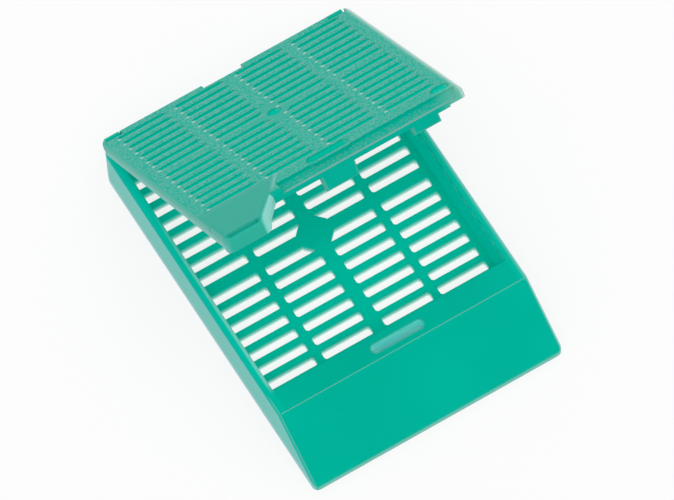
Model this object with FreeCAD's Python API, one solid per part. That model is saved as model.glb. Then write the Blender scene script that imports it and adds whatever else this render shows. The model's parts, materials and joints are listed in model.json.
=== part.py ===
import FreeCAD, Part
import math
import os

os.makedirs("parts", exist_ok=True)

V = FreeCAD.Vector

# ---------------------------------------------------------------- sizes, in mm
# X is the width, +Y points to the hinge, -Y to the writing face, +Z is up.
# The origin is on the underside, below the solid pad in the middle of the floor.

# Tray, overall
CASSETTE_WIDTH = 28.5
FRONT_REACH = 23.8
BACK_REACH = 17.5
RIM_HEIGHT = 5.75
WALL = 0.95
FLOOR = 1.15
BACK_CORNER_R = 1.7
FRONT_CORNER_R = 0.65
RIM_ROUND = 0.4
RIM_INNER_ROUND = 0.15

# Tray, writing face with the ledge behind its crest
FACE_RUN = 6.7
FACE_TOE_HEIGHT = 0.85
LEDGE_DEPTH = 2.55
FACE_PLATE = 1.1
FACE_RIB = 0.9
FACE_RIB_OFFSET = 6.2

# Tray, slit that frees a springy strip along the ledge for the latch tab
SLIT_LENGTH = 5.8
SLIT_WIDTH = 0.95
LATCH_STRIP = 0.98

# Tray, drain slots through the floor
ROWS_PER_HALF = 8
FLOOR_SIDE_MARGIN = 0.62
FLOOR_OUTER_BAR = 0.8
FLOOR_MIDDLE_BAR = 1.35
FLOOR_FRONT_MARGIN = 0.21
FLOOR_MIDDLE_EXTRA = 0.6
FLOOR_OPEN_SHARE = 0.64
FLOOR_SLOT_EASE = 0.2
FLOOR_PAD_REACH = 1.75

# Hinge
HINGE_DROP = 0.6
KNUCKLE_R = 0.46
KNUCKLE_LENGTH = 1.6
KNUCKLE_SIDE_INSET = 0.6
PIN_R = 0.24
PIN_CLEARANCE = 0.05
PIN_LENGTH = 1.1
HINGE_GAP = 0.15
HINGE_NOTCH_DEPTH = 0.95
LUG_R = 0.4
LUG_LENGTH = 1.2

# Lid, plate
LID_THICKNESS = 1.15
LID_SEAT_GAP = 0.05
LID_OVERHANG = 0.1
LID_SIDE_ROUND = 0.5
LID_BACK_CORNER_R = 1.2
LID_FRONT_CORNER_R = 1.1
LID_BACK_STEP = 0.29
LIP_GAP = 0.2
LID_NOTCH_WIDTH = 4.5
LID_NOTCH_DEPTH = 0.75
LATCH_OFFSET = -0.3

# Lid, vent slots
LID_BACK_MARGIN = 1.27
LID_FRONT_MARGIN = 3.8
LID_SIDE_MARGIN = 1.67
LID_OUTER_BAR = 1.13
LID_MIDDLE_BAR = 1.5
LID_MIDDLE_EXTRA = 0.57
LID_OPEN_SHARE = 0.44
LID_SLOT_EASE = 0.22
LID_PAD_REACH = 1.6
LID_PIT_R = 0.75
LID_PIT_DEPTH = 0.35

# Lid, stepped front lip with its two moulded recesses
LIP_DEPTH = 1.5
LIP_STEP = 0.36
LIP_VALLEY = 0.1
LIP_FRONT_DROP = 0.65
LIP_RUN_OUT = 1.0
LIP_RUN_OUT_INSET = 0.4
RECESS_LENGTH = 4.7
RECESS_WIDTH = 1.4
RECESS_DEPTH = 0.6
RECESS_BACK_FROM_STEP = 0.95
RECESS_RIM = 0.45
CORNER_RECESS_LENGTH = 2.0
CORNER_RECESS_DEPTH = 0.35
CORNER_RECESS_INSET = 1.7
LIP_END_INSET = 1.95
LIP_END_BEVEL = 0.4
LIP_END_LAND = 0.12

# Lid, tabs that hang into the tray behind the ledge
TAB_THICKNESS = 0.8
TAB_BELOW_LIP = 0.15
LATCH_TAB_WIDTH = 3.85
LATCH_TAB_DROP = 1.65
LATCH_TAB_TAPER = 0.1
SIDE_TAB_WIDTH = 3.05
SIDE_TAB_DROP = 0.95
SIDE_TAB_INSET = 3.3
TAB_CHAMFER = 0.22

# Lid, finger catch at the front left corner
CATCH_OVERHANG = 1.45
CATCH_ROOT_WIDTH = 9.2
CATCH_NOSE_WIDTH = 4.65
CATCH_ROOT_INSET = 3.62
CATCH_RAISE = 0.06
CATCH_ROUND = 0.7
CATCH_HEEL_ROUND = 1.6
CATCH_TOE_ROUND = 0.8
CATCH_NOSE_ROUND = 1.5
NOSE_DROP = 0.5
NOSE_LAND = 0.4
NOSE_CLEARANCE = 0.15
NOSE_STEP_DEPTH = 0.25
NOSE_STEP_BACK = 0.7
NOSE_STEP_SIDE = 0.7

# Angle between the closed lid and the lid as it stands at rest
REST_ANGLE = 42.1

# Slack for cutting tools that must run past a face
PAST = 1.0

# Two places closer together than this are the same place
SAME = 1e-6

# ------------------------------------------------------------- derived places
half_width = CASSETTE_WIDTH / 2
well_half = half_width - WALL
crest_y = -(FRONT_REACH - FACE_RUN)
ledge_y = crest_y + LEDGE_DEPTH
well_back_y = BACK_REACH - WALL

lid_under_z = RIM_HEIGHT + LID_SEAT_GAP
lid_top_z = lid_under_z + LID_THICKNESS
hinge_y = BACK_REACH - KNUCKLE_R
hinge_z = lid_top_z - HINGE_DROP
lid_half = half_width + LID_OVERHANG
lid_back_y = hinge_y - LID_BACK_STEP
lid_length = lid_back_y - (ledge_y + LIP_GAP)

knuckle_outer = half_width - KNUCKLE_SIDE_INSET
knuckle_inner = knuckle_outer - KNUCKLE_LENGTH


# -------------------------------------------------------------------- helpers
def block(x0, x1, y0, y1, z0, z1):
    return Part.makeBox(x1 - x0, y1 - y0, z1 - z0, V(x0, y0, z0))


def prism(points, direction):
    wire = Part.makePolygon(points + [points[0]])
    return Part.Face(wire).extrude(direction)


def side_profile(points_yz, x0, x1):
    return prism([V(x0, y, z) for y, z in points_yz], V(x1 - x0, 0, 0))


def barrel(radius, x0, x1):
    return Part.makeCylinder(radius, x1 - x0, V(x0, hinge_y, hinge_z), V(1, 0, 0))


def edges_at(shape, wanted):
    found = []
    for edge in shape.Edges:
        box = edge.BoundBox
        if wanted(box):
            found.append(edge)
    return found


def is_upright(box):
    return box.XLength < SAME and box.YLength < SAME and box.ZLength > SAME


def eased_bar(length, width, corner, z0, z1):
    """Bar with its four upright edges cut off at 45 degrees."""
    x = length / 2
    y = width / 2
    half_ring = [(x, corner - y), (x, y - corner), (x - corner, y), (corner - x, y)]
    ring = half_ring + [(-a, -b) for a, b in half_ring]
    return prism([V(a, b, z0) for a, b in ring], V(0, 0, z1 - z0))


def stadium(length, width, z0, z1):
    straight = (length - width) / 2
    middle = block(-straight, straight, -width / 2, width / 2, z0, z1)
    left = Part.makeCylinder(width / 2, z1 - z0, V(-straight, 0, z0))
    right = Part.makeCylinder(width / 2, z1 - z0, V(straight, 0, z0))
    return middle.fuse([left, right]).removeSplitter()


def octagon(reach, z0, z1):
    corner = reach * math.tan(math.pi / 8)
    ring = [(reach, -corner), (reach, corner), (corner, reach), (-corner, reach)]
    ring += [(-x, -y) for x, y in ring]
    return prism([V(x, y, z0) for x, y in ring], V(0, 0, z1 - z0))


def placed(shape, x, y):
    copy = shape.copy()
    copy.translate(V(x, y, 0))
    return copy


def slot_field(length, width, corner, column_xs, row_ys, pad_reach, centre_y, z0, z1):
    """Rows of slots, with the ones beside the central pad cut short by it."""
    slot = eased_bar(length, width, corner, z0, z1)
    pad = placed(octagon(pad_reach, z0 - PAST, z1 + PAST), 0, centre_y)
    slots = []
    for y in row_ys:
        for x in column_xs:
            one = placed(slot, x, y)
            beside_pad = abs(y - centre_y) - width / 2 < pad_reach
            if beside_pad and abs(x) - length / 2 < pad_reach:
                one = one.cut(pad)
            slots.append(one)
    return slots


def column_centres(length, outer_bar, middle_bar):
    inner = (middle_bar + length) / 2
    outer = inner + length + outer_bar
    return [-outer, -inner, inner, outer]


def row_centres(pitch, middle_extra):
    first = (pitch + middle_extra) / 2
    front = [-(first + pitch * i) for i in range(ROWS_PER_HALF)]
    return front + [-y for y in front]


# ----------------------------------------------------------------------- tray
def tray_block():
    """Solid with the sloping writing face, every outer top edge rounded."""
    toe_y = -FRONT_REACH
    outline = [
        (toe_y, 0),
        (BACK_REACH, 0),
        (BACK_REACH, RIM_HEIGHT),
        (crest_y, RIM_HEIGHT),
        (toe_y, FACE_TOE_HEIGHT),
    ]
    body = side_profile(outline, -half_width, half_width)

    def at_back(box):
        return is_upright(box) and box.YMin > 0

    def at_front(box):
        return is_upright(box) and box.YMax < 0

    body = body.makeFillet(BACK_CORNER_R, edges_at(body, at_back))
    body = body.makeFillet(FRONT_CORNER_R, edges_at(body, at_front))

    def on_top_outline(box):
        on_crest = box.YLength < SAME and abs(box.YMin - crest_y) < SAME
        return box.ZMin > FACE_TOE_HEIGHT - SAME and not on_crest

    return body.makeFillet(RIM_ROUND, edges_at(body, on_top_outline))


def tray_well():
    well = block(-well_half, well_half, ledge_y, well_back_y, FLOOR, RIM_HEIGHT + PAST)
    inner_r = BACK_CORNER_R - WALL

    def at_back(box):
        return is_upright(box) and box.YMin > 0

    return well.makeFillet(inner_r, edges_at(well, at_back))


def face_hollow():
    """Space under the writing face and ledge, open below, split by ribs."""
    slope = math.atan2(RIM_HEIGHT - FACE_TOE_HEIGHT, FACE_RUN)
    drop = FACE_PLATE / math.cos(slope)
    roof_z = RIM_HEIGHT - FACE_PLATE
    back_y = ledge_y - LATCH_STRIP
    bend_y = crest_y - (drop - FACE_PLATE) / math.tan(slope)
    toe_y = crest_y - (RIM_HEIGHT - drop) / math.tan(slope)
    section = [(back_y, -PAST), (back_y, roof_z), (bend_y, roof_z), (toe_y, 0), (toe_y, -PAST)]
    hollow = side_profile(section, -well_half, well_half)
    for side in (-1, 1):
        rib_x = side * FACE_RIB_OFFSET
        rib = block(rib_x - FACE_RIB / 2, rib_x + FACE_RIB / 2, -FRONT_REACH, ledge_y, -PAST, RIM_HEIGHT)
        hollow = hollow.cut(rib)
    return hollow


def floor_slots():
    free_width = 2 * well_half - 2 * FLOOR_SIDE_MARGIN
    length = (free_width - 2 * FLOOR_OUTER_BAR - FLOOR_MIDDLE_BAR) / 4
    half_field = -ledge_y - FLOOR_FRONT_MARGIN
    pitch = (half_field - FLOOR_MIDDLE_EXTRA / 2) / (ROWS_PER_HALF - 0.5 + FLOOR_OPEN_SHARE / 2)
    columns = column_centres(length, FLOOR_OUTER_BAR, FLOOR_MIDDLE_BAR)
    rows = row_centres(pitch, FLOOR_MIDDLE_EXTRA)
    width = pitch * FLOOR_OPEN_SHARE
    return slot_field(length, width, FLOOR_SLOT_EASE, columns, rows, FLOOR_PAD_REACH, 0, -PAST, FLOOR + PAST)


def knuckle(side):
    """Ear on the back wall with a blind bore that faces the middle of the tray."""
    x0, x1 = sorted((side * knuckle_inner, side * knuckle_outer))
    foot = block(x0, x1, well_back_y, BACK_REACH, RIM_HEIGHT - KNUCKLE_R, hinge_z)
    return barrel(KNUCKLE_R, x0, x1).fuse(foot)


def knuckle_bore(side):
    depth = PIN_LENGTH + HINGE_GAP
    x0, x1 = sorted((side * (knuckle_inner - HINGE_GAP), side * (knuckle_inner + depth)))
    return barrel(PIN_R + PIN_CLEARANCE, x0, x1)


def make_tray():
    body = tray_block().cut(tray_well())

    def on_well_rim(box):
        at_top = box.ZMin > RIM_HEIGHT - SAME
        inside = max(abs(box.XMin), abs(box.XMax)) < well_half + SAME
        return at_top and inside and box.YMax > ledge_y + SAME and box.YMax < well_back_y + SAME

    body = body.makeFillet(RIM_INNER_ROUND, edges_at(body, on_well_rim))
    body = body.cut(face_hollow())
    slit_y = ledge_y - LATCH_STRIP - SLIT_WIDTH / 2
    slit = placed(stadium(SLIT_LENGTH, SLIT_WIDTH, 0, RIM_HEIGHT + PAST), 0, slit_y)
    body = body.cut([slit] + floor_slots())
    body = body.fuse([knuckle(-1), knuckle(1)])
    body = body.cut([knuckle_bore(-1), knuckle_bore(1)])
    return body.removeSplitter()


# ------------------------------------------------------------------------ lid
# The lid is drawn closed, then swung to its rest angle about the hinge.
# u runs across it, v forward from its back edge, w up from its top face.
def lid_point(u, v, w):
    return V(u, lid_back_y - v, lid_top_z + w)


def lid_block(u0, u1, v0, v1, w0, w1):
    return block(u0, u1, lid_back_y - v1, lid_back_y - v0, lid_top_z + w0, lid_top_z + w1)


def lid_section(points_vw, u0, u1):
    return prism([lid_point(u0, v, w) for v, w in points_vw], V(u1 - u0, 0, 0))


def lid_placed(shape, u, v):
    return placed(shape, u, lid_back_y - v)


lip_step_v = lid_length - LIP_DEPTH
recess_v = lip_step_v - RECESS_BACK_FROM_STEP
latch_tab_left = LATCH_OFFSET - LATCH_TAB_WIDTH / 2
latch_tab_right = LATCH_OFFSET + LATCH_TAB_WIDTH / 2
catch_front_v = lid_back_y - (crest_y - CATCH_OVERHANG)
catch_root_v = lid_length - CATCH_ROOT_INSET
catch_root_u = CATCH_ROOT_WIDTH - lid_half


def lid_plate():
    """Plate with its sides rounded on top and its back edge left square."""
    plate = lid_block(-lid_half, lid_half, 0, lid_length, -LID_THICKNESS, 0)
    outline = lid_block(-lid_half, lid_half, 0, lid_length, -LID_THICKNESS, 0)

    def at_back(box):
        return is_upright(box) and box.YMin > 0

    def at_front_right(box):
        return is_upright(box) and box.YMax < 0 and box.XMin > 0

    def on_top_sides(box):
        return box.ZMin > lid_top_z - SAME and box.XLength < SAME

    plate = plate.makeFillet(LID_FRONT_CORNER_R, edges_at(plate, at_front_right))
    plate = plate.makeFillet(LID_SIDE_ROUND, edges_at(plate, on_top_sides))
    outline = outline.makeFillet(LID_BACK_CORNER_R, edges_at(outline, at_back))
    return plate.common(outline)


def lid_slots():
    free_width = 2 * lid_half - 2 * LID_SIDE_MARGIN
    length = (free_width - 2 * LID_OUTER_BAR - LID_MIDDLE_BAR) / 4
    field = lid_length - LID_BACK_MARGIN - LID_FRONT_MARGIN
    pitch = (field - LID_MIDDLE_EXTRA) / (2 * ROWS_PER_HALF - 1 + LID_OPEN_SHARE)
    centre_v = LID_BACK_MARGIN + field / 2
    centre_y = lid_back_y - centre_v
    columns = column_centres(length, LID_OUTER_BAR, LID_MIDDLE_BAR)
    rows = [centre_y + y for y in row_centres(pitch, LID_MIDDLE_EXTRA)]
    width = pitch * LID_OPEN_SHARE
    z0 = lid_under_z - PAST
    z1 = lid_top_z + PAST
    slots = slot_field(length, width, LID_SLOT_EASE, columns, rows, LID_PAD_REACH, centre_y, z0, z1)
    pit_z = lid_top_z - LID_PIT_DEPTH
    pit = Part.makeCylinder(LID_PIT_R, LID_PIT_DEPTH + PAST, V(0, centre_y, pit_z))
    return slots + [pit]


def lip_cut():
    """Step along the front that bulges round the recess and runs out at the right corner."""
    past_v = lid_length + PAST
    section = [
        (lip_step_v, PAST),
        (lip_step_v, -LIP_STEP + LIP_VALLEY),
        (lip_step_v + LIP_VALLEY, -LIP_STEP),
        (lid_length, -LIP_FRONT_DROP),
        (past_v, -LIP_FRONT_DROP),
        (past_v, PAST),
    ]
    cut = lid_section(section, catch_root_u - PAST, lid_half + PAST)
    top_end_u = lid_half - LIP_RUN_OUT_INSET
    low_end_u = top_end_u - LIP_RUN_OUT
    run_out = [
        (top_end_u, PAST),
        (top_end_u, 0),
        (low_end_u, -LIP_FRONT_DROP),
        (low_end_u, -PAST),
        (lid_half + PAST, -PAST),
        (lid_half + PAST, PAST),
    ]
    depth = V(0, past_v - lip_step_v, 0)
    cut = cut.cut(prism([lid_point(u, past_v, w) for u, w in run_out], depth))
    boss = stadium(RECESS_LENGTH + 2 * RECESS_RIM, RECESS_WIDTH + 2 * RECESS_RIM, 0, lid_top_z)
    return cut.cut(lid_placed(boss, 0, recess_v))


def lid_recesses():
    centre = stadium(RECESS_LENGTH, RECESS_WIDTH, lid_top_z - RECESS_DEPTH, lid_top_z + PAST)
    corner_u = lid_half - CORNER_RECESS_INSET
    corner_bottom = lid_top_z - CORNER_RECESS_DEPTH
    corner = stadium(CORNER_RECESS_LENGTH, RECESS_WIDTH, corner_bottom, lid_top_z + PAST)
    notch_u0 = LATCH_OFFSET - LID_NOTCH_WIDTH / 2
    notch_u1 = LATCH_OFFSET + LID_NOTCH_WIDTH / 2
    notch = lid_block(notch_u0, notch_u1, -PAST, LID_NOTCH_DEPTH, -LID_THICKNESS - PAST, PAST)
    lip_end_u = lid_half - LIP_END_INSET
    bevel_w = -LIP_FRONT_DROP - LIP_END_LAND
    bevel = lid_section(
        [
            (lid_length + PAST, bevel_w),
            (lid_length, bevel_w),
            (lid_length - LIP_END_BEVEL, -LID_THICKNESS),
            (lid_length - LIP_END_BEVEL, -LID_THICKNESS - PAST),
            (lid_length + PAST, -LID_THICKNESS - PAST),
        ],
        lip_end_u,
        lid_half + PAST,
    )
    return [lid_placed(centre, 0, recess_v), lid_placed(corner, corner_u, recess_v), notch, bevel]


def hanging_tab(u0, u1, drop, taper):
    """Tab flush with the lip's front face, its free edges chamfered."""
    top_w = -LIP_FRONT_DROP - TAB_BELOW_LIP
    low_w = -LID_THICKNESS - drop
    back_v = lid_length - TAB_THICKNESS
    corners = [(u0, top_w), (u1, top_w), (u1 - taper, low_w), (u0 + taper, low_w)]
    tab = prism([lid_point(u, back_v, w) for u, w in corners], V(0, -TAB_THICKNESS, 0))
    front_y = lid_back_y - lid_length

    def free_front_edge(box):
        on_front = box.YLength < SAME and abs(box.YMin - front_y) < SAME
        return on_front and box.ZMin < lid_top_z + low_w + SAME

    return tab.makeChamfer(TAB_CHAMFER, edges_at(tab, free_front_edge))


def lid_tabs():
    right_u1 = lid_half - SIDE_TAB_INSET
    right_u0 = right_u1 - SIDE_TAB_WIDTH
    latch = hanging_tab(latch_tab_left, latch_tab_right, LATCH_TAB_DROP, LATCH_TAB_TAPER)
    right = hanging_tab(right_u0, right_u1, SIDE_TAB_DROP, 0)
    left = hanging_tab(-right_u1, -right_u0, SIDE_TAB_DROP, 0)
    return [latch, right, left]


def catch_keel():
    """Space below the finger catch, so that its nose dips in front of the crest."""
    low = -LID_THICKNESS
    nose_low = low - NOSE_DROP
    nose_back_v = lid_back_y - crest_y + NOSE_CLEARANCE
    land_v = catch_front_v - NOSE_LAND
    section = [
        (catch_root_v - PAST, nose_low - PAST),
        (catch_root_v - PAST, low),
        (nose_back_v, low),
        (land_v, nose_low),
        (land_v, nose_low - PAST),
    ]
    return lid_section(section, -lid_half - PAST, catch_root_u + PAST)


def finger_catch():
    """Smooth raised pad that reaches over the ledge and crest to a drooping nose."""
    left = -lid_half
    nose_u = left + CATCH_NOSE_WIDTH
    low = -LID_THICKNESS - NOSE_DROP
    corners = [
        (left, catch_root_v, CATCH_HEEL_ROUND),
        (left, catch_front_v, CATCH_TOE_ROUND),
        (nose_u, catch_front_v, CATCH_NOSE_ROUND),
        (catch_root_u, catch_root_v, CATCH_TOE_ROUND),
    ]
    body = prism([lid_point(u, v, low) for u, v, _ in corners], V(0, 0, CATCH_RAISE - low))
    for u, v, corner_r in corners:
        corner = lid_point(u, v, low)

        def on_corner(box):
            return is_upright(box) and abs(box.XMin - corner.x) + abs(box.YMin - corner.y) < SAME

        body = body.makeFillet(corner_r, edges_at(body, on_corner))
    top = lid_top_z + CATCH_RAISE
    body = body.makeFillet(CATCH_ROUND, edges_at(body, lambda box: box.ZMin > top - SAME))
    return body.cut(catch_keel())


def nose_step():
    left = -lid_half + NOSE_STEP_SIDE
    right = -lid_half + CATCH_NOSE_WIDTH - NOSE_STEP_SIDE
    back = catch_front_v - NOSE_STEP_BACK
    return lid_block(left, right, back, catch_front_v + PAST, CATCH_RAISE - NOSE_STEP_DEPTH, PAST)


def lid_hinge(side):
    """Lug at the back edge that carries an outward pin."""
    lug_end = knuckle_inner - HINGE_GAP
    x0, x1 = sorted((side * (lug_end - LUG_LENGTH), side * lug_end))
    lug = barrel(LUG_R, x0, x1)
    root = block(x0, x1, lid_back_y - LUG_R, hinge_y, hinge_z - LUG_R, hinge_z + LUG_R)
    p0, p1 = sorted((side * (lug_end - LUG_LENGTH / 2), side * (lug_end + PIN_LENGTH)))
    return [lug.fuse(root), barrel(PIN_R, p0, p1)]


def hinge_notch(side):
    x0, x1 = sorted((side * (knuckle_inner - HINGE_GAP), side * (knuckle_outer + HINGE_GAP)))
    return lid_block(x0, x1, -PAST, HINGE_NOTCH_DEPTH, -LID_THICKNESS - PAST, PAST)


def make_lid():
    body = lid_plate()
    body = body.cut(lip_cut())
    body = body.fuse([finger_catch()] + lid_tabs())
    body = body.cut(lid_recesses() + [nose_step(), hinge_notch(-1), hinge_notch(1)] + lid_slots())
    body = body.fuse(lid_hinge(-1) + lid_hinge(1))
    body = body.removeSplitter()
    body.rotate(V(0, hinge_y, hinge_z), V(1, 0, 0), -REST_ANGLE)
    return body


make_tray().exportStep("parts/tray.step")
make_lid().exportStep("parts/lid.step")
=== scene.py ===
"""Looks of a hinged tissue cassette: two satin teal mouldings on a pale studio floor."""

import json
import math

import bmesh
import bpy
from mathutils import Matrix, Vector


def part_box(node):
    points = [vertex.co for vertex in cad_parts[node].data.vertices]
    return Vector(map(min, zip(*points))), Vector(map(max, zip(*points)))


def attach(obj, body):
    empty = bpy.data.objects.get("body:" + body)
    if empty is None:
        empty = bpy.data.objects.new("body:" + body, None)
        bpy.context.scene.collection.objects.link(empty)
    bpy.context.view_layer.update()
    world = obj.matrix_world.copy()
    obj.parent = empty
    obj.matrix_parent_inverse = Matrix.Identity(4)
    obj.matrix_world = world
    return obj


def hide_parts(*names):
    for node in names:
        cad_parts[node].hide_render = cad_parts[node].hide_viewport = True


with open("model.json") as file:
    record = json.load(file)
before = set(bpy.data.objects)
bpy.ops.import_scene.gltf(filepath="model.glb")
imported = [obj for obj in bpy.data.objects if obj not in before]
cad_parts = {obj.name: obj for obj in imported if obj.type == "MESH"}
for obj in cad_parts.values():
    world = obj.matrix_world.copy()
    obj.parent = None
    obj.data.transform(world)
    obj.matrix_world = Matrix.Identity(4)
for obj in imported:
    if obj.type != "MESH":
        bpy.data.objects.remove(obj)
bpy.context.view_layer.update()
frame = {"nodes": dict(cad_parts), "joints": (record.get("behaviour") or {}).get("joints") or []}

MM = 0.001

# ------------------------------------------------------------------ camera
TARGET = Vector((0.438, -3.661, 3.023)) * MM
AZIMUTH = math.radians(-27.14)
ELEVATION = math.radians(64.19)
ROLL = math.radians(-4.33)
DISTANCE = 907.5 * MM
LENS = 491.2
SENSOR_WIDTH = 36.0
NEAREST = 0.01
FURTHEST = 10.0

# ------------------------------------------------------------------ studio
# Floor: half its size, how far it lies below the foot, and how much of its white is seen as plain white.
FLOOR_REACH = 2.0
FLOOR_DROP = 0.02 * MM
FLOOR_WHITE = (0.9, 0.9, 0.9, 1.0)
FLOOR_PLAIN_SHARE = 0.8

# World: its strength as light, and as a reflection in gloss.
WHITE = (1.0, 1.0, 1.0, 1.0)
WORLD_FILL = 0.7
WORLD_IN_GLOSS = 0.25

# Softboxes: place from the camera's target, size, power, and whether gloss shows it.
SOFTBOXES = {
    "overhead_softbox": (Vector((0.1, -0.1, 0.5)), 0.1, 0.15, True),
    "front_softbox": (Vector((-0.2, -0.39, 0.9)), 0.5, 2.4, False),
    "back_softbox": (Vector((0.0, 0.6, 0.8)), 0.5, 1.0, False),
}

# ------------------------------------------------------------------ colours
BLACK = (0.0, 0.0, 0.0)
SHEEN = (0.0, 1.0, 0.9, 1.0)
TEAL = (0.0, 0.475, 0.34)
TEAL_DEEP = (0.0, 0.45, 0.32)
# Painted highlights on edges, rims and the crest line, and painted light on the slot walls.
TEAL_PAINTED_HIGHLIGHT = (0.3, 0.62, 0.56)
CREST_PAINTED_HIGHLIGHT = (0.12, 0.47, 0.38)
SLOT_PAINTED_LIGHT = (0.85, 0.93, 0.92)
# Painted light, glowing as emission in the well, on walls, sides, slots and the slit.
WELL_GLOW = (0.0, 0.065, 0.055)
WALL_GLOW = (0.0, 0.15, 0.13)
SIDE_GLOW = (0.0, 0.02, 0.05)
LID_SHINE = (0.0, 0.16, 0.14)
SLOT_GLOW = (0.35, 0.4, 0.4)
SLIT_GLOW = (0.0, 0.22, 0.23)
SLIT_STREAK = (0.05, 0.27, 0.28)
LID_TEAL = (0.0, 0.425, 0.305)
CATCH_TEAL = (0.0, 0.395, 0.29)
LID_MATTE = (0.0, 0.47, 0.34)
LID_FROST = (0.08, 0.43, 0.35)
# Painted highlights, glints and shading on the lid's edges, slots, corner and catch, and painted glow.
LID_PAINTED_HIGHLIGHT = (0.18, 0.44, 0.38)
LID_PAINTED_GLINT = (0.45, 0.64, 0.58)
NOSE_PAINTED_SHADING = (0.03, 0.43, 0.32)
CORNER_PAINTED_HIGHLIGHT = (0.11, 0.5, 0.37)
LID_PAINTED_SIDE_HIGHLIGHT = (0.13, 0.5, 0.44)
RIGHT_EDGE_PAINTED_HIGHLIGHT = (0.75, 0.85, 0.8)
CATCH_GLOW = (0.12, 0.18, 0.16)
INSIDE_GLOW = (0.0, 0.16, 0.13)

# ------------------------------------------------------------------ mouldings
WELD = 0.001 * MM
FLAT_WITHIN = math.radians(0.5)
SHARP_FROM = math.radians(30)
AREA_WEIGHT = 100
EDGE_RADIUS = 0.1 * MM
EDGE_SAMPLES = 6
GRAIN_DEPTH = 0.02 * MM
GRAIN_STRENGTH = 0.6

# ------------------------------------------------------------------ tray, in mm
# Its outside comes from its box. x runs to the right, y to the back and z up.
TRAY_LOW, TRAY_HIGH = (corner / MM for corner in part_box("tray"))
SIDE = TRAY_HIGH.x
FRONT = TRAY_LOW.y
BACK = TRAY_HIGH.y
WALL = 0.95
FLOOR = 1.15
RIM = 5.75
FACE_RUN = 6.7
LEDGE_DEPTH = 2.55
WELL_SIDE = SIDE - WALL
WELL_BACK = BACK - WALL
CREST = FRONT + FACE_RUN
WELL_FRONT = CREST + LEDGE_DEPTH

# Slit in the ledge: its ends' radius, half its straight sides, and its middle, past the springy strip.
SLIT_LENGTH = 5.8
SLIT_WIDTH = 0.95
LATCH_STRIP = 0.98
SLIT_R = SLIT_WIDTH / 2
SLIT_STRAIGHT = SLIT_LENGTH / 2 - SLIT_R
SLIT_Y = WELL_FRONT - LATCH_STRIP - SLIT_R

# ------------------------------------------------------------------ lid, in mm
# Its own directions as it stands at rest, forward from its back edge and out of its top face. The hinge's
# lower limit shuts it flat, so it stands open by that angle.
HINGE = frame["joints"][0]
REST_ANGLE = -math.radians(HINGE["range_deg"][0])
LID_FORWARD = Vector((0.0, -math.cos(REST_ANGLE), math.sin(REST_ANGLE)))
LID_OUT = Vector((0.0, math.sin(REST_ANGLE), math.cos(REST_ANGLE)))
HINGE_TO_BACK_EDGE = 0.29
HINGE_TO_TOP_FACE = 0.6
LID_BACK_TOP = Vector(HINGE["pos_m"]) / MM + LID_FORWARD * HINGE_TO_BACK_EDGE + LID_OUT * HINGE_TO_TOP_FACE
LID_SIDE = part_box("lid")[1].x / MM
LID_LENGTH = 31.1

# Rows of slots across the lid, in two halves with a wider bar between them.
LID_ROWS = 16
LID_BACK_MARGIN = 1.27
LID_FRONT_MARGIN = 3.8
LID_MIDDLE_EXTRA = 0.57
LID_OPEN_SHARE = 0.44
ROWS_END = LID_LENGTH - LID_FRONT_MARGIN
ROWS_CENTRE = (LID_BACK_MARGIN + ROWS_END) / 2
ROW_PITCH = (ROWS_END - LID_BACK_MARGIN - LID_MIDDLE_EXTRA) / (LID_ROWS - 1 + LID_OPEN_SHARE)
FIRST_ROW = (ROW_PITCH + LID_MIDDLE_EXTRA) / 2

# Columns of slots: an inner and an outer one on each side of the middle bar.
LID_SIDE_MARGIN = 1.67
LID_OUTER_BAR = 1.13
LID_MIDDLE_BAR = 1.5
INNER_START = LID_MIDDLE_BAR / 2
OUTER_END = LID_SIDE - LID_SIDE_MARGIN
SLOT_LENGTH = (OUTER_END - INNER_START - LID_OUTER_BAR) / 2
INNER_END = INNER_START + SLOT_LENGTH
OUTER_START = OUTER_END - SLOT_LENGTH
SLOT_LEFT_ENDS = (-OUTER_END, -INNER_END, INNER_START, OUTER_START)

# Round smooth pad in the middle, and the finger catch at the front left with its slanted right side.
PAD_R = 2.5
CATCH_INSET = 3.6
CATCH_WIDTH = 9.2
CATCH_SLANT = 0.58
CATCH_ROOT = LID_LENGTH - CATCH_INSET
CATCH_SIDE = CATCH_WIDTH - LID_SIDE

# ------------------------------------------------------------------ finish and painted light of the tray
BAND_SOFTNESS = 0.04

# A pair is where a painted light or a finish starts and where it is full, or the two ends of a band, and a
# third number is how soft a band's ends are. Places are in mm. Turns and facings are the share of the
# surface's own direction that points along an axis.
UPRIGHT = (0.6, 0.3)
WELL_ASIDE = (WELL_SIDE + 0.2, WELL_SIDE + 0.1)
WELL_ALONG = (WELL_FRONT - 0.05, WELL_BACK + 0.05)
WELL_BELOW_RIM = (RIM - 0.15, RIM - 0.35)
WELL_ABOVE_FOOT = (0.3, 0.9)
SLOTS_ASIDE = (WELL_SIDE - 0.04, WELL_SIDE - 0.1)
SLOTS_ALONG = (WELL_FRONT + 0.05, WELL_BACK - 0.35)
SLOTS_BELOW_FLOOR = (FLOOR + 0.01, FLOOR - 0.03)
AT_RIM = (RIM - 0.25, RIM - 0.05)
SLIT_RIM = (SLIT_R, SLIT_R + 0.12)
SLIT_ASIDE = (SLIT_LENGTH / 2 + 0.2, SLIT_LENGTH / 2 + 0.1)
SLIT_ALONG = (SLIT_Y - 0.6, SLIT_Y + 0.6)
SLIT_ABOVE = (2.0, 3.0)
CREST_ALONG = (CREST - 0.1, CREST - 0.03, 0.02)
CREST_ABOVE = (RIM - 0.25, RIM - 0.15)
CREST_ASIDE = (SIDE - 0.25, SIDE - 0.45)
TURNS_RIGHT = (0.15, 0.8)
SHORT_OF_SIDE = (0.999, 0.97)
RIGHT_EDGE = (SIDE - 0.45, SIDE - 0.35)
RIGHT_RIM = (SIDE - 0.55, SIDE - 0.05)
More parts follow.
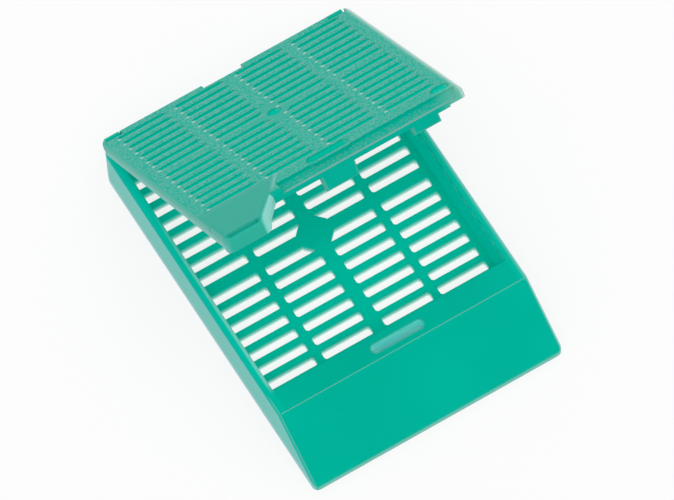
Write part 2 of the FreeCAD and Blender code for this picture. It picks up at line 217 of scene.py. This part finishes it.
LEFT_RIM_OUTER = (-WELL_SIDE - 0.45, -WELL_SIDE - 0.25)
LEFT_RIM_INNER = (-WELL_SIDE + 0.1, -WELL_SIDE)
LEFT_RIM_BACK = (9.0, 0.0)
LEFT_RIM_FRONT = (WELL_FRONT - 0.45, WELL_FRONT + 1.05)
FACES_SIDE = (0.5, 0.9)
OUTSIDE = (SIDE - 0.35, SIDE - 0.25)
FOOT = (1.3, 0.1)
FACES_FRONT = (-0.7, -0.95)
TOE_ALONG = (FRONT + 0.1, FRONT + 0.02)
TOE_HEIGHT = (0.9, 0.2)
LEFT_EDGE = (-SIDE + 0.13, -SIDE + 0.25)
LEFT_EDGE_ALONG = (WELL_FRONT + 0.05, WELL_FRONT - 1.45)
FACES_UP = (0.2, 0.5)
RIM_TOP = (RIM - 0.08, RIM + 0.07)
RIM_ASIDE = (WELL_SIDE, WELL_SIDE + 0.1)
WELL_SHINE_ALONG = (-2.0, 8.0)
LEFT_HALF = (0.0, -1.0)
RIM_SHINE_FRONT = (WELL_FRONT - 0.95, WELL_FRONT + 3.55)
RIM_SHINE_BACK = (0.0, 10.0)
CLOUDS = (0.35, 0.7)
STREAKS = (0.45, 0.65)

# How much of each painted highlight and painted light shows at most.
SLOT_PAINTED_LIGHT_SHARE = 0.55
SLOT_PAINTED_LIGHT_BELOW = 0.3
SLIT_RIM_SHARE = 0.6
LEFT_EDGE_SHARE = 0.8
RIGHT_RIM_SHARE = 0.55
LEFT_RIM_SHARE = 0.6
FOOT_SHARE = 0.8
TOE_SHARE = 0.5
WELL_SHINE_SHARE = 0.4
RIM_SHINE_SHARE = 0.2
RIM_SHINE_FRONT_SHARE = 0.35
RIM_SHINE_BACK_SHARE = 0.2

# Patterns, whose scales are per mm, and the tray's gloss and grain.
CLOUD_SCALE = 0.09
CLOUD_DETAIL = 3.0
TRAY_GRAIN_SCALE = 3.0
TRAY_GRAIN_DETAIL = 1.0
TRAY_GRAIN = 0.1
TRAY_ROUGHNESS = 0.32
STREAK_ACROSS = 0.3
STREAK_DOWN = 3.0
STREAK_SCALE = 2.0
STREAK_DETAIL = 2.0

# ------------------------------------------------------------------ finish and painted light of the lid
# Pairs are as on the tray. Depths are measured out of the top face, so they are below 0 inside the plate.
# Places in a row of slots are shares of the rows' pitch.
CATCH_ASIDE = (CATCH_SIDE + 0.05, CATCH_SIDE - 0.05)
CATCH_FROM = (CATCH_ROOT - 0.1, CATCH_ROOT)
FACES_OUT = (0.9, 0.98)
TOP_FACE = (-0.12, -0.06)
GRAINED_ABOVE = (-0.7, -0.66)
OUTSIDE_PAD = (PAD_R - 0.05, PAD_R + 0.1)
INNER_COLUMN = (INNER_START, INNER_END)
OUTER_COLUMN = (OUTER_START, OUTER_END)
ROWS_ALONG = (LID_BACK_MARGIN - 0.27, ROWS_END + 0.4)
SLOT_HALF = LID_OPEN_SHARE / 2
SLOT_LIP = (SLOT_HALF, SLOT_HALF + 0.1, 0.02)
SPOT_FROM_END = -0.24
SPOT_TO_END = 0.08
SPOT_SOFT = 0.06
SPOT_IN_ROW = (SLOT_HALF - 0.09, SLOT_HALF + 0.07, 0.03)
TURNS_LEFT = (-0.2, -0.8)
LID_RIGHT_EDGE = (LID_SIDE - 0.95, LID_SIDE - 0.1)
NOT_THE_SIDE = (0.95, 0.75)
INSIDE_BELOW = (-0.08, -0.16)
INSIDE_ASIDE = (LID_SIDE - 0.5, LID_SIDE - 0.6)
INSIDE_ALONG = (0.2, LID_LENGTH - 1.8, 0.1)
INSIDE_FACES = (-0.5, -0.3)
CORNER_ASIDE = (LID_SIDE - 3.35, LID_SIDE - 0.75)
CORNER_ALONG = (LID_LENGTH - 2.5, LID_LENGTH - 1.7)
NOSE_FACES = (0.9, 0.6)
NOSE_NOT_RIGHT = (0.3, 0.1)
FRONT_EDGE = (LID_LENGTH - 0.3, LID_LENGTH + 0.1)
RIGHT_OF_CATCH = (CATCH_SIDE - 0.85, CATCH_SIDE - 0.65)
CATCH_SIDE_FACES = (0.15, 0.5)
CATCH_RIM = (CATCH_SIDE - 0.65, CATCH_SIDE - 0.1)
CATCH_RIM_ALONG = (LID_LENGTH - 0.1, LID_LENGTH - 1.6)
SIDE_HIGHLIGHT_BELOW = (-0.3, -1.1)
SIDE_HIGHLIGHT_ASIDE = (LID_SIDE - 0.55, LID_SIDE - 0.35)
MATTE_SPECKS = (0.52, 0.4)
FROST_SPECKS = (0.46, 0.62)

# How much of each painted highlight and of the matte grain shows at most.
CATCH_RIM_SHARE = 0.5
MATTE_SHARE = 0.7
LEFT_SIDE_SHARE = 0.4
RIGHT_EDGE_HIGHLIGHT_SHARE = 0.8

# The speck pattern, whose scale is per mm, and the lid's gloss and grain.
SPECK_SCALE = 4.2
SPECK_DETAIL = 2.0
LID_GRAIN = 0.1
LID_GRAIN_MORE = 0.4
LID_ROUGHNESS = 0.42


class Field:
    """A shader socket that takes part in Python sums, each adding its Math node."""

    def __init__(self, graph, socket):
        self.graph = graph
        self.socket = socket

    def _math(self, operation, *values):
        return self.graph.node("ShaderNodeMath", {"operation": operation}, *values)["Value"]

    def __add__(self, other):
        return self._math("ADD", self, other)

    __radd__ = __add__

    def __sub__(self, other):
        return self._math("SUBTRACT", self, other)

    def __rsub__(self, other):
        return self._math("SUBTRACT", other, self)

    def __mul__(self, other):
        return self._math("MULTIPLY", self, other)

    __rmul__ = __mul__

    def __truediv__(self, other):
        return self._math("DIVIDE", self, other)

    def __rtruediv__(self, other):
        return self._math("DIVIDE", other, self)

    def __abs__(self):
        return self._math("ABSOLUTE", self)

    def at_most(self, other):
        return self._math("MINIMUM", self, other)

    def at_least(self, other):
        return self._math("MAXIMUM", self, other)

    def ramp(self, start, end):
        """0 where the value is start, 1 where it is end, smooth between them."""
        settings = {"interpolation_type": "SMOOTHSTEP", "clamp": True}
        return self.graph.node("ShaderNodeMapRange", settings, self, start, end, 0.0, 1.0)["Result"]

    def between(self, low, high, soft=BAND_SOFTNESS):
        """1 from low to high, falling to 0 over a soft width at both ends."""
        return self.ramp(low - soft, low + soft) * self.ramp(high + soft, high - soft)


class Graph:
    """One material's or world's node tree."""

    def __init__(self, owner):
        owner.use_nodes = True
        self.tree = owner.node_tree
        self.tree.nodes.clear()

    def node(self, kind, settings=None, *values, **named):
        """Adds a node: its settings first, then its sockets by order or by name."""
        made = self.tree.nodes.new(kind)
        for key, value in (settings or {}).items():
            setattr(made, key, value)
        inputs = [s for s in made.inputs if s.enabled]
        pairs = list(zip(inputs, values))
        pairs += [(made.inputs[key.replace("_", " ")], value) for key, value in named.items()]
        for socket, value in pairs:
            if isinstance(value, Field):
                self.tree.links.new(value.socket, socket)
            elif value is not None:
                socket.default_value = value
        return {s.name: Field(self, s) for s in made.outputs if s.enabled}

    def mix(self, share, low, high):
        """Colour between low and high."""
        colours = [c if isinstance(c, Field) else (*c, 1.0) for c in (low, high)]
        settings = {"data_type": "RGBA"}
        return self.node("ShaderNodeMix", settings, share, *colours)["Result"]

    def noise(self, place, scale, detail):
        """Soft pattern from 0 to 1, about half on average."""
        return self.node("ShaderNodeTexNoise", None, place, Scale=scale, Detail=detail)["Fac"]

    def along(self, vector, direction):
        """How far the vector reaches along a direction."""
        return self.node("ShaderNodeVectorMath", {"operation": "DOT_PRODUCT"}, vector, direction)["Value"]

    def distance(self, x, y):
        """Length of the flat line from the origin to x, y."""
        line = self.join(x, y, 0.0)
        return self.node("ShaderNodeVectorMath", {"operation": "LENGTH"}, line)["Value"]

    def join(self, x, y, z):
        return self.node("ShaderNodeCombineXYZ", None, x, y, z)["Vector"]

    def parts(self, vector):
        split = self.node("ShaderNodeSeparateXYZ", None, vector)
        return split["X"], split["Y"], split["Z"]


def moulding(node, name):
    """Copy of a construction part as one closed mesh, with its large faces shaded flat."""
    mesh = frame["nodes"][node].data.copy()
    mesh.name = name
    form = bmesh.new()
    form.from_mesh(mesh)
    bmesh.ops.remove_doubles(form, verts=form.verts, dist=WELD)
    bmesh.ops.dissolve_limit(form, angle_limit=FLAT_WITHIN, verts=form.verts, edges=form.edges)
    for face in form.faces:
        face.smooth = True
    for edge in form.edges:
        edge.smooth = edge.calc_face_angle() < SHARP_FROM
    form.to_mesh(mesh)
    form.free()
    mesh.attributes.remove(mesh.attributes["custom_normal"])
    piece = bpy.data.objects.new(name, mesh)
    bpy.context.scene.collection.objects.link(piece)
    level = piece.modifiers.new("level_faces", "WEIGHTED_NORMAL")
    level.mode = "FACE_AREA"
    level.weight = AREA_WEIGHT
    level.keep_sharp = True
    graph = bpy.context.evaluated_depsgraph_get()
    finished = bpy.data.meshes.new_from_object(piece.evaluated_get(graph))
    finished.name = name
    piece.modifiers.clear()
    piece.data = finished
    return piece


def plastic(g, base, roughness, grain, glow, dull):
    """Satin moulded plastic with small edge radii and a fine grain.

    The glow is painted light for what slim walls let through, and dull is the share without any gloss.
    """
    edges = g.node("ShaderNodeBevel", {"samples": EDGE_SAMPLES}, Radius=EDGE_RADIUS)["Normal"]
    bump = {"Strength": GRAIN_STRENGTH, "Distance": GRAIN_DEPTH, "Height": grain, "Normal": edges}
    normal = g.node("ShaderNodeBump", None, **bump)["Normal"]
    shared = {"Base_Color": base, "Normal": normal, "Emission_Color": glow, "Emission_Strength": 1.0}
    glossy = {"Roughness": roughness, "Specular_Tint": SHEEN}
    matt = {"Roughness": 1.0, "Specular_IOR_Level": 0.0}
    satin = g.node("ShaderNodeBsdfPrincipled", None, **glossy, **shared)["BSDF"]
    flat = g.node("ShaderNodeBsdfPrincipled", None, **matt, **shared)["BSDF"]
    surface = g.node("ShaderNodeMixShader", None, dull, satin, flat)["Shader"]
    g.node("ShaderNodeOutputMaterial", None, surface)


def in_millimetres(g, place):
    return g.node("ShaderNodeVectorMath", {"operation": "SCALE"}, place["Object"], 1 / MM)["Vector"]


def tray_plastic():
    """Bright teal with painted light: a glow in the matt well, pale edge highlights and slot walls
    whitening downwards.
    """
    material = bpy.data.materials.new("tray_plastic")
    g = Graph(material)
    place = g.node("ShaderNodeTexCoord")
    spot = in_millimetres(g, place)
    x, y, z = g.parts(spot)
    nx, ny, nz = g.parts(place["Normal"])
    aside = abs(x)
    upright = abs(nz).ramp(*UPRIGHT)
    at_rim = z.ramp(*AT_RIM)

    # The well, and the walls of the slots in its floor, painted paler further down for light let through
    # from below.
    in_well = aside.ramp(*WELL_ASIDE) * y.between(*WELL_ALONG)
    in_well = in_well * z.ramp(*WELL_BELOW_RIM) * z.ramp(*WELL_ABOVE_FOOT)
    slot_wall = upright * aside.ramp(*SLOTS_ASIDE) * y.between(*SLOTS_ALONG) * z.ramp(*SLOTS_BELOW_FLOOR)
    through = (FLOOR - z) / FLOOR
    painted_slot_light = slot_wall * through * through * (SLOT_PAINTED_LIGHT_SHARE + through * SLOT_PAINTED_LIGHT_BELOW)

    # The slit in the ledge: a painted highlight on its rim, and painted light glowing on its walls in
    # streaks.
    from_slit = g.distance((aside - SLIT_STRAIGHT).at_least(0.0), y - SLIT_Y)
    slit_rim_highlight = from_slit.between(*SLIT_RIM) * at_rim
    streak = g.noise(g.join(x * STREAK_ACROSS, y, z * STREAK_DOWN), STREAK_SCALE, STREAK_DETAIL)
    slit_wall = upright * aside.ramp(*SLIT_ASIDE) * y.between(*SLIT_ALONG) * z.ramp(*SLIT_ABOVE)

    # Painted highlights: pale lines, rims and lower outer walls where the light catches them.
    painted_crest_highlight = y.between(*CREST_ALONG) * z.ramp(*CREST_ABOVE) * aside.ramp(*CREST_ASIDE)
    right_edge = nx.ramp(*TURNS_RIGHT) * nx.ramp(*SHORT_OF_SIDE) * x.ramp(*RIGHT_EDGE)
    right_rim = x.ramp(*RIGHT_RIM) * at_rim * RIGHT_RIM_SHARE
    left_rim = x.ramp(*LEFT_RIM_OUTER) * x.ramp(*LEFT_RIM_INNER) * at_rim
    left_rim = left_rim * y.ramp(*LEFT_RIM_BACK) * y.ramp(*LEFT_RIM_FRONT) * LEFT_RIM_SHARE
    left_edge_highlight = x.between(*LEFT_EDGE) * y.ramp(*LEFT_EDGE_ALONG) * nz.ramp(*FACES_UP) * LEFT_EDGE_SHARE
    outside = abs(nx).ramp(*FACES_SIDE) * aside.ramp(*OUTSIDE)
    foot = outside * z.ramp(*FOOT) * FOOT_SHARE
    toe = ny.ramp(*FACES_FRONT) * y.ramp(*TOE_ALONG) * z.ramp(*TOE_HEIGHT) * TOE_SHARE
    painted_edge_highlights = right_edge.at_least(right_rim).at_least(left_rim).at_least(foot).at_least(toe)

    cloud = g.noise(spot, CLOUD_SCALE, CLOUD_DETAIL)
    grain = g.noise(spot, TRAY_GRAIN_SCALE, TRAY_GRAIN_DETAIL)
    base = g.mix(cloud.ramp(*CLOUDS), TEAL_DEEP, TEAL)
    # Painted highlights on the crest, the slit's rim, the left edge, the edges and rims; painted light on
    # the slot walls.
    base = g.mix(painted_crest_highlight.at_least(slit_rim_highlight * SLIT_RIM_SHARE).at_least(left_edge_highlight), base, CREST_PAINTED_HIGHLIGHT)
    base = g.mix(painted_edge_highlights, base, TEAL_PAINTED_HIGHLIGHT)
    base = g.mix(painted_slot_light, base, SLOT_PAINTED_LIGHT)

    # Painted light glowing on the well and rim, against the open lid's shade; most at the rim's left front
    # and back.
    rim_top = z.between(*RIM_TOP) * aside.ramp(*RIM_ASIDE)
    front_shine = y.ramp(*RIM_SHINE_FRONT) * RIM_SHINE_FRONT_SHARE
    back_shine = y.ramp(*RIM_SHINE_BACK) * RIM_SHINE_BACK_SHARE
    rim_shine = rim_top * (RIM_SHINE_SHARE + x.ramp(*LEFT_HALF) * (front_shine + back_shine))
    glow = g.mix(in_well, BLACK, WELL_GLOW)
    glow = g.mix(in_well * upright, glow, WALL_GLOW)
    glow = g.mix(in_well * y.ramp(*WELL_SHINE_ALONG) * WELL_SHINE_SHARE, glow, LID_SHINE)
    glow = g.mix(rim_shine, glow, LID_SHINE)
    # Painted glow on the outer sides, on the slot walls and on the slit's walls.
    glow = g.mix(outside, glow, SIDE_GLOW)
    glow = g.mix(painted_slot_light, glow, SLOT_GLOW)
    glow = g.mix(slit_wall, glow, g.mix(streak.ramp(*STREAKS), SLIT_GLOW, SLIT_STREAK))
    plastic(g, base, TRAY_ROUGHNESS, grain * TRAY_GRAIN, glow, in_well)
    return material


def lid_plastic():
    """Teal with a frosted grain on its flat faces, smooth on the catch, the pits and the round pad."""
    material = bpy.data.materials.new("lid_plastic")
    g = Graph(material)
    place = g.node("ShaderNodeTexCoord")
    spot = in_millimetres(g, place)
    from_back = g.node("ShaderNodeVectorMath", {"operation": "SUBTRACT"}, spot, LID_BACK_TOP)["Vector"]
    forward = g.along(from_back, LID_FORWARD)
    depth = g.along(from_back, LID_OUT)
    facing = g.along(place["Normal"], LID_OUT)
    x = g.parts(spot)[0]
    nx = g.parts(place["Normal"])[0]
    aside = abs(x)

    # The catch, which narrows forwards, and the frosted faces round it and the pad.
    catch_run = x + (forward - CATCH_ROOT) * CATCH_SLANT
    on_catch = catch_run.ramp(*CATCH_ASIDE) * forward.ramp(*CATCH_FROM)
    off_catch = 1.0 - on_catch
    level = facing.ramp(*FACES_OUT)
    on_top = level * depth.ramp(*TOP_FACE)
    from_pad = g.distance(x, forward - ROWS_CENTRE)
    grained = level * depth.ramp(*GRAINED_ABOVE) * off_catch * from_pad.ramp(*OUTSIDE_PAD)

    # Where a point lies in its row of slots, from -0.5 to 0.5, and each slot's painted highlight line and
    # glint.
    half = g.node("ShaderNodeMath", {"operation": "SIGN"}, forward - ROWS_CENTRE)["Value"]
    row = (forward - ROWS_CENTRE - half * FIRST_ROW) / ROW_PITCH
    row = row - g.node("ShaderNodeMath", {"operation": "ROUND"}, row)["Value"]
    in_rows = forward.between(*ROWS_ALONG)
    in_columns = aside.between(*INNER_COLUMN) + aside.between(*OUTER_COLUMN)
    slot_lip_highlight = on_top * in_columns * in_rows * row.between(*SLOT_LIP)
    slot_ends = sum(x.between(end + SPOT_FROM_END, end + SPOT_TO_END, SPOT_SOFT) for end in SLOT_LEFT_ENDS)
    slot_end_glints = on_top * slot_ends * in_rows * row.between(*SPOT_IN_ROW)

    # Painted highlights on sides, edges, front right corner and catch, painted shading on its front,
    # painted glow inside.
    left_side_highlight = nx.ramp(*TURNS_LEFT) * LEFT_SIDE_SHARE
    right_edge = x.ramp(*LID_RIGHT_EDGE) * nx.ramp(*NOT_THE_SIDE)
    right_edge_highlight = right_edge * right_edge * RIGHT_EDGE_HIGHLIGHT_SHARE
    inside = depth.ramp(*INSIDE_BELOW) * aside.ramp(*INSIDE_ASIDE) * forward.between(*INSIDE_ALONG)
    inside = inside * facing.ramp(*INSIDE_FACES) * off_catch
    corner = x.ramp(*CORNER_ASIDE) * forward.ramp(*CORNER_ALONG) * nx.ramp(*NOT_THE_SIDE)
    front_edge_highlight = level * forward.between(*FRONT_EDGE) * x.ramp(*RIGHT_OF_CATCH)
    nose_shading = on_catch * facing.ramp(*NOSE_FACES) * nx.ramp(*NOSE_NOT_RIGHT)
    catch_side = on_catch * nx.ramp(*CATCH_SIDE_FACES)
    catch_rim_highlight = on_catch * level * catch_run.ramp(*CATCH_RIM) * forward.ramp(*CATCH_RIM_ALONG)
    side_highlight = abs(nx).ramp(*FACES_SIDE) * depth.ramp(*SIDE_HIGHLIGHT_BELOW) * aside.ramp(*SIDE_HIGHLIGHT_ASIDE)

    speck = g.noise(spot, SPECK_SCALE, SPECK_DETAIL)
    matte_specks = grained * speck.ramp(*MATTE_SPECKS) * MATTE_SHARE
    base = g.mix(on_catch, LID_TEAL, CATCH_TEAL)
    base = g.mix(matte_specks, base, LID_MATTE)
    base = g.mix(grained * speck.ramp(*FROST_SPECKS), base, LID_FROST)
    # Painted shading on the catch's front face, and painted highlights on the corner, slot lips, sides,
    # slot ends, edges and catch.
    base = g.mix(nose_shading, base, NOSE_PAINTED_SHADING)
    base = g.mix(corner, base, CORNER_PAINTED_HIGHLIGHT)
    base = g.mix(slot_lip_highlight, base, LID_PAINTED_HIGHLIGHT)
    base = g.mix(left_side_highlight, base, LID_PAINTED_HIGHLIGHT)
    base = g.mix(slot_end_glints, base, LID_PAINTED_GLINT)
    base = g.mix(front_edge_highlight, base, LID_PAINTED_HIGHLIGHT)
    base = g.mix((side_highlight + catch_side).at_most(1.0), base, LID_PAINTED_SIDE_HIGHLIGHT)
    base = g.mix(catch_rim_highlight * CATCH_RIM_SHARE, base, TEAL_PAINTED_HIGHLIGHT)
    base = g.mix(right_edge_highlight, base, RIGHT_EDGE_PAINTED_HIGHLIGHT)
    # Painted glow on the catch's side and on the inside.
    glow = g.mix(catch_side, BLACK, CATCH_GLOW)
    glow = g.mix(inside, glow, INSIDE_GLOW)
    grain = speck * (grained * LID_GRAIN_MORE + LID_GRAIN)
    plastic(g, base, LID_ROUGHNESS, grain, glow, inside.at_least(matte_specks))
    return material


def finish_piece(piece, node, body, material):
    piece.data.materials.clear()
    piece.data.materials.append(material)
    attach(piece, body)
    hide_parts(node)


def studio_floor():
    mesh = bpy.data.meshes.new("studio_floor")
    signs = ((-1, -1), (1, -1), (1, 1), (-1, 1))
    corners = [(right * FLOOR_REACH, back * FLOOR_REACH, 0.0) for right, back in signs]
    mesh.from_pydata(corners, [], [(0, 1, 2, 3)])
    floor = bpy.data.objects.new("studio_floor", mesh)
    floor.location.z = -FLOOR_DROP
    bpy.context.scene.collection.objects.link(floor)
    material = bpy.data.materials.new("studio_white")
    g = Graph(material)
    lit = g.node("ShaderNodeBsdfDiffuse", None, Color=FLOOR_WHITE)["BSDF"]
    plain = g.node("ShaderNodeEmission", None, Color=WHITE, Strength=1.0)["Emission"]
    path = g.node("ShaderNodeLightPath")
    seen = path["Is Camera Ray"].at_least(path["Is Glossy Ray"]) * FLOOR_PLAIN_SHARE
    surface = g.node("ShaderNodeMixShader", None, seen, lit, plain)["Shader"]
    g.node("ShaderNodeOutputMaterial", None, surface)
    mesh.materials.append(material)


def studio_world():
    world = bpy.data.worlds.new("studio")
    bpy.context.scene.world = world
    g = Graph(world)
    path = g.node("ShaderNodeLightPath")
    dim = g.node("ShaderNodeBackground", None, Color=WHITE, Strength=WORLD_IN_GLOSS)["Background"]
    fill = g.node("ShaderNodeBackground", None, Color=WHITE, Strength=WORLD_FILL)["Background"]
    mixed = g.node("ShaderNodeMixShader", None, path["Is Glossy Ray"], fill, dim)["Shader"]
    g.node("ShaderNodeOutputWorld", None, mixed)


def softbox(name, offset, size, power, in_gloss):
    data = bpy.data.lights.new(name, "AREA")
    data.size = size
    data.energy = power
    lamp = bpy.data.objects.new(name, data)
    lamp.location = TARGET + offset
    lamp.rotation_euler = (-offset).to_track_quat("-Z", "Y").to_euler()
    lamp.visible_glossy = in_gloss
    bpy.context.scene.collection.objects.link(lamp)


def studio_camera():
    data = bpy.data.cameras.new("camera")
    data.lens = LENS
    data.sensor_width = SENSOR_WIDTH
    data.clip_start = NEAREST
    data.clip_end = FURTHEST
    camera = bpy.data.objects.new("camera", data)
    level_reach = math.cos(ELEVATION)
    side = math.sin(AZIMUTH) * level_reach
    behind = -math.cos(AZIMUTH) * level_reach
    back = Vector((side, behind, math.sin(ELEVATION)))
    roll = Matrix.Rotation(ROLL, 4, back)
    aim = back.to_track_quat("Z", "Y").to_matrix().to_4x4()
    camera.matrix_world = Matrix.Translation(TARGET + back * DISTANCE) @ roll @ aim
    bpy.context.scene.collection.objects.link(camera)
    bpy.context.scene.camera = camera


finish_piece(moulding("tray", "tray_moulding"), "tray", "tray", tray_plastic())
finish_piece(moulding("lid", "lid_moulding"), "lid", "lid", lid_plastic())
studio_floor()
studio_world()
for name, placing in SOFTBOXES.items():
    softbox(name, *placing)
studio_camera()

bpy.context.scene.view_settings.view_transform = "Standard"
